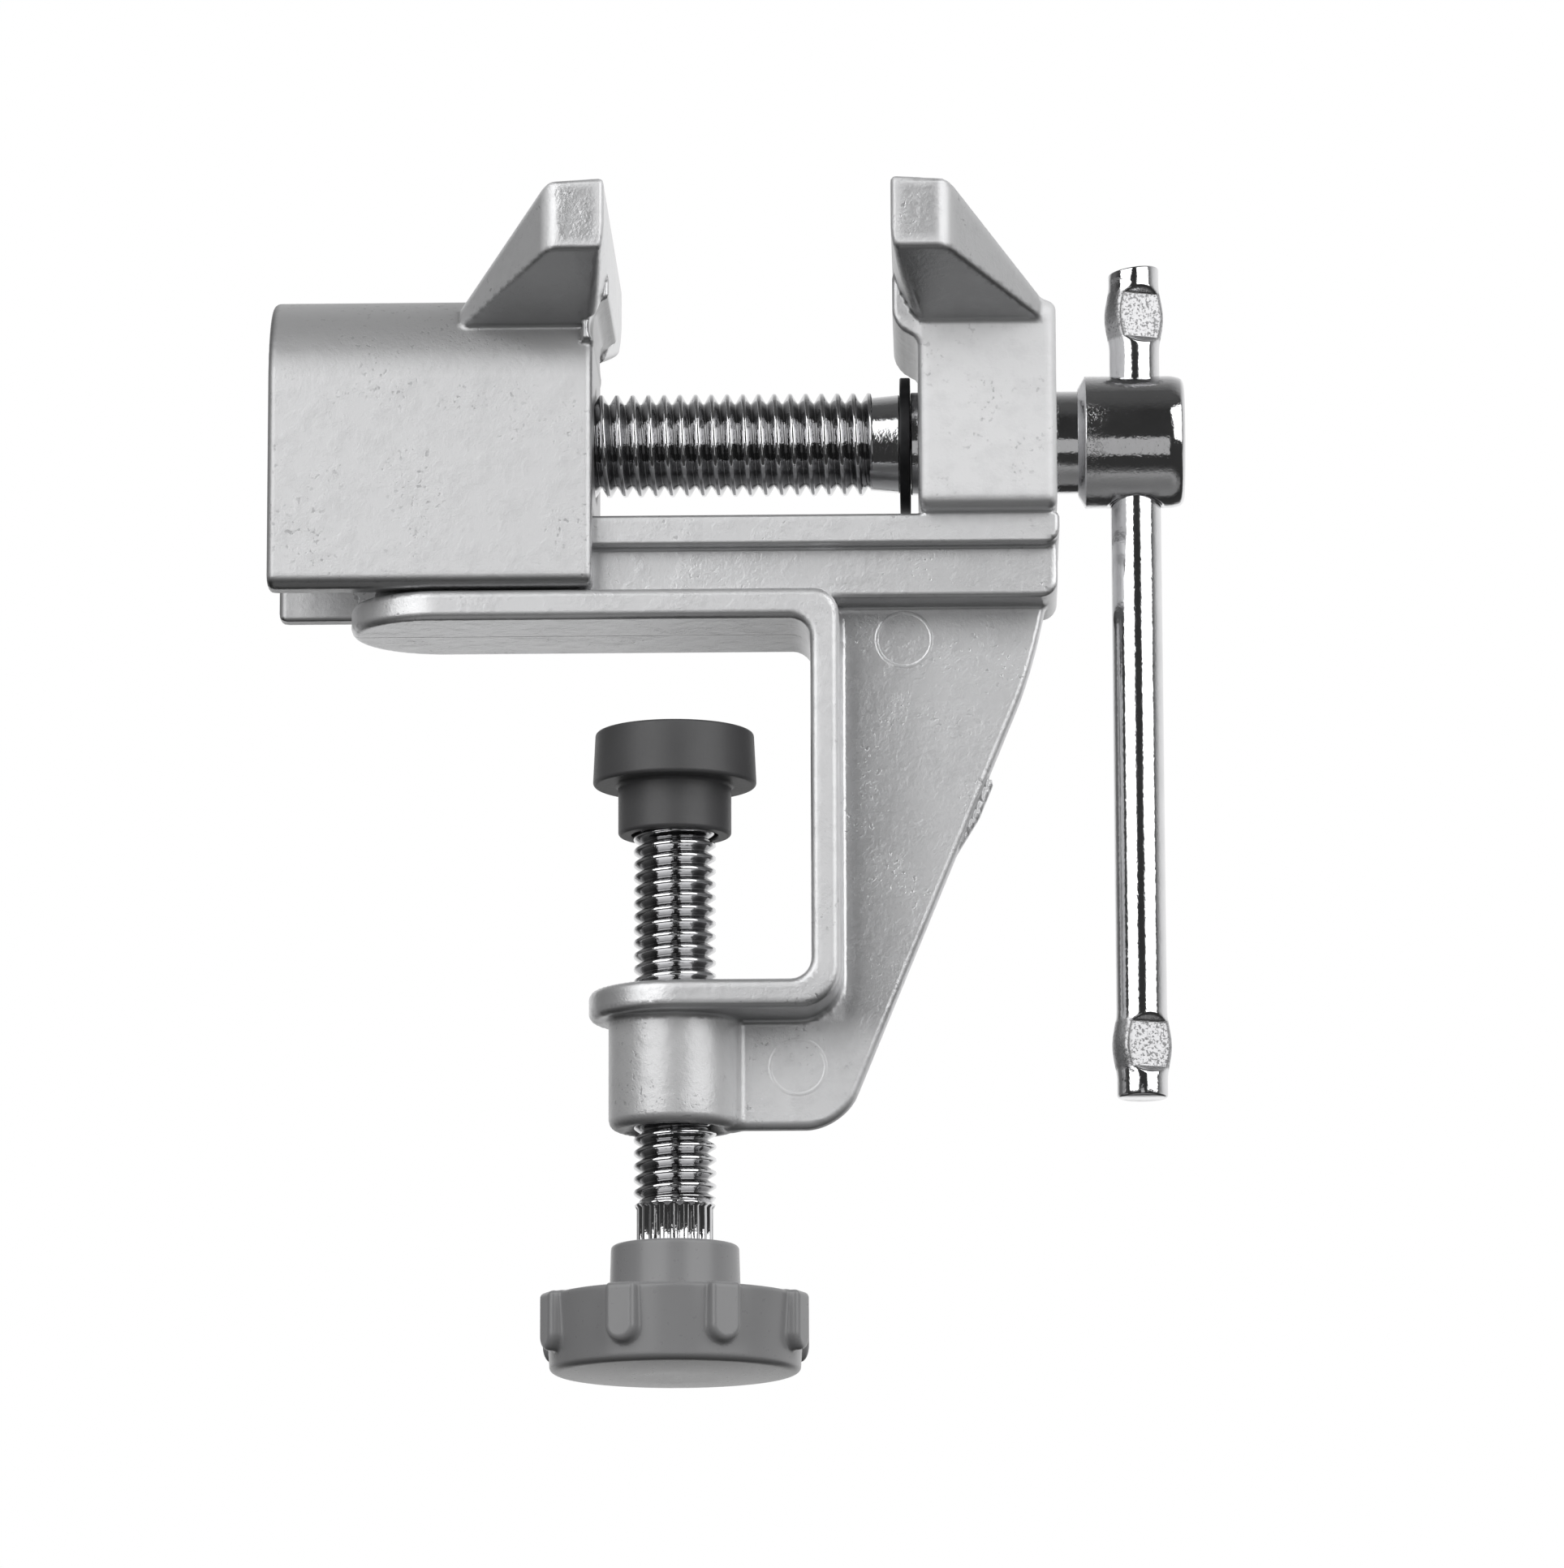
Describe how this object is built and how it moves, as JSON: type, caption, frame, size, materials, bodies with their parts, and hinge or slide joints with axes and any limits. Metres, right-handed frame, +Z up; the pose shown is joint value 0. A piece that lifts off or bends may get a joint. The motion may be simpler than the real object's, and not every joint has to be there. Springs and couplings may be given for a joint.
{
  "type": "mini bench vise",
  "caption": "Small die-cast bench vise with a C clamp below it, a sliding jaw on a T rail, a lead screw with a tommy bar and a clamp screw with a pad and knob.",
  "frame": {"origin": "on the underside of the upper clamp arm, which rests on the bench top, at the clamp screw's axis and the plane of symmetry", "axes": "+Z up, +X from the moving jaw to the fixed jaw along the lead screw, Y across the jaws"},
  "size_m": [0.0867, 0.0418, 0.1102],
  "materials": {
    "casting": "satin die casting",
    "steel": "bright zinc plated",
    "clip_black": "black oxide spring steel",
    "pad_black": "matt moulded",
    "knob_grey": "semi gloss moulded"
  },
  "bodies": {
    "vise_frame": {"vise_frame": "casting"},
    "moving_jaw": {"moving_jaw": "casting"},
    "main_screw": {"main_screw": "steel", "retaining_clip": "clip_black"},
    "handle_bar": {"handle_bar": "steel"},
    "clamp_pad": {"clamp_pad": "pad_black"},
    "clamp_screw": {"clamp_screw": "steel", "clamp_knob": "knob_grey"}
  },
  "joints": [
    {"name": "main_screw_spin", "type": "hinge", "parent": "vise_frame", "child": "main_screw", "pos_m": [0.03, 0, 0.0185], "axis": [1, 0, 0], "range_deg": [-6408, 960]},
    {"name": "jaw_slide", "type": "slide", "parent": "vise_frame", "child": "moving_jaw", "axis": [1, 0, 0], "range_m": [-0.004, 0.0267]},
    {"name": "handle_slide", "type": "slide", "parent": "main_screw", "child": "handle_bar", "axis": [0, 0, 1], "range_m": [-0.0034, 0.0495]},
    {"name": "pad_slide", "type": "slide", "parent": "vise_frame", "child": "clamp_pad", "axis": [0, 0, 1], "range_m": [-0.0148, 0.0093]},
    {"name": "clamp_screw_spin", "type": "hinge", "parent": "clamp_pad", "child": "clamp_screw", "pos_m": [0, 0, -0.04], "axis": [0, 0, 1], "range_deg": [-4262.4, 2678.4]}
  ],
  "couplings": [
    {"joint": "jaw_slide", "follows": "main_screw_spin", "m_per_rad": -0.00023873},
    {"joint": "pad_slide", "follows": "clamp_screw_spin", "m_per_rad": 0.00019894}
  ]
}
